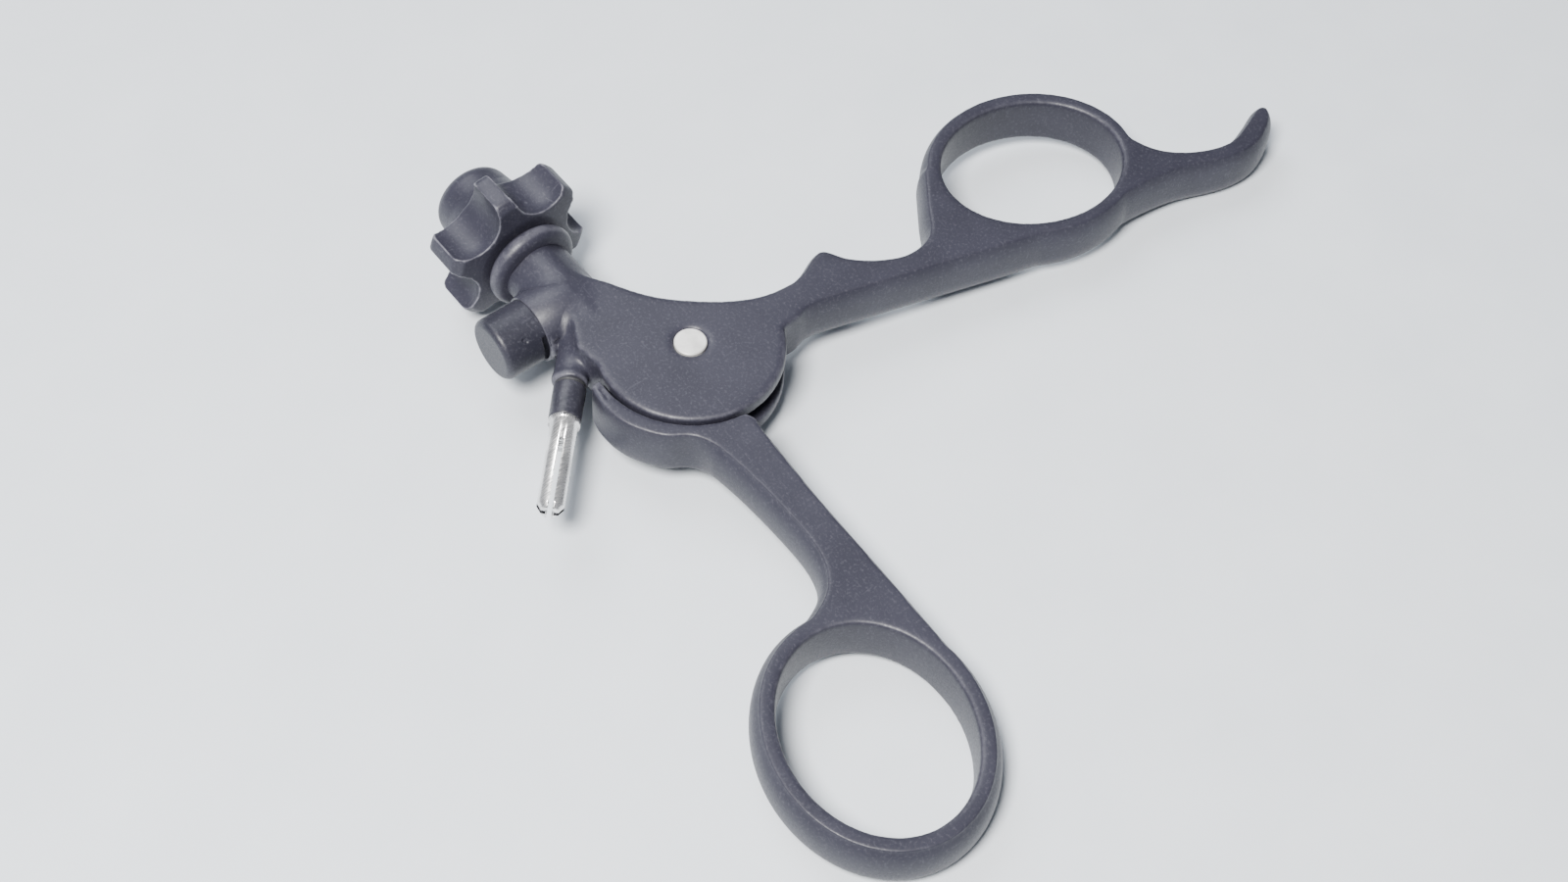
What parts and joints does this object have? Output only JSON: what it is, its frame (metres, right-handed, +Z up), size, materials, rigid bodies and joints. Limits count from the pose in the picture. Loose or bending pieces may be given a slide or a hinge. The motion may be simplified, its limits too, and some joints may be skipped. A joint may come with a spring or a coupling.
{
  "type": "laparoscopic forceps handle",
  "caption": "Flat ring handle for detachable laparoscopic forceps: lobed rotation wheel, release button, electrode pin, fixed finger grip and pivoting thumb grip.",
  "frame": {"origin": "on the shaft axis at the mouth of the nose, where the instrument shaft goes in", "axes": "+X forward along the shaft axis, +Y towards the release button, +Z up, normal to the flat grips"},
  "size_m": [0.1304, 0.1389, 0.025],
  "materials": {
    "black_plastic": "satin moulded surface with fine speckle and lighter worn edges",
    "wheel_plastic": "satin moulded surface, worn pale along the lobe edges",
    "button_plastic": "satin black with a worn rim",
    "insulator": "smooth satin black",
    "pivot_steel": "ground flat, satin",
    "bright_steel": "bright drawn steel with fine turning marks",
    "contact_brass": "plain brass",
    "bearing_polymer": "natural bearing polymer",
    "seal_rubber": "soft black rubber"
  },
  "bodies": {
    "grip": {"fixed_handle": "black_plastic", "retaining_collar": "wheel_plastic", "pivot_pin": "pivot_steel", "upper_washer": "bright_steel", "lower_washer": "bright_steel", "connector_insulator": "insulator", "connector_pin": "bright_steel", "connector_seal": "seal_rubber", "contact_wire": "contact_brass", "wheel_bearing": "bearing_polymer", "button_spring": "bright_steel", "button_dowel": "bright_steel"},
    "wheel": {"rotation_wheel": "wheel_plastic", "shaft_sleeve": "bright_steel", "shaft_seal": "seal_rubber", "sleeve_clip": "bright_steel"},
    "button": {"release_button": "button_plastic", "latch_plate": "bright_steel"},
    "thumb": {"thumb_grip": "black_plastic", "pivot_bush": "contact_brass", "rod_seat": "bright_steel"}
  },
  "joints": [
    {"name": "thumb_pivot", "type": "hinge", "parent": "grip", "child": "thumb", "pos_m": [-0.046, -0.0086, 0], "axis": [0, 0, 1], "range_deg": [-3, 42]},
    {"name": "wheel_spin", "type": "hinge", "parent": "grip", "child": "wheel", "pos_m": [-0.011, 0, 0], "axis": [1, 0, 0], "continuous": true},
    {"name": "button_press", "type": "slide", "parent": "grip", "child": "button", "axis": [0, -1, 0], "range_m": [0, 0.0016], "stiffness_N_per_m": 150, "springref_m": -0.003, "deforming": ["button_spring"]}
  ]
}
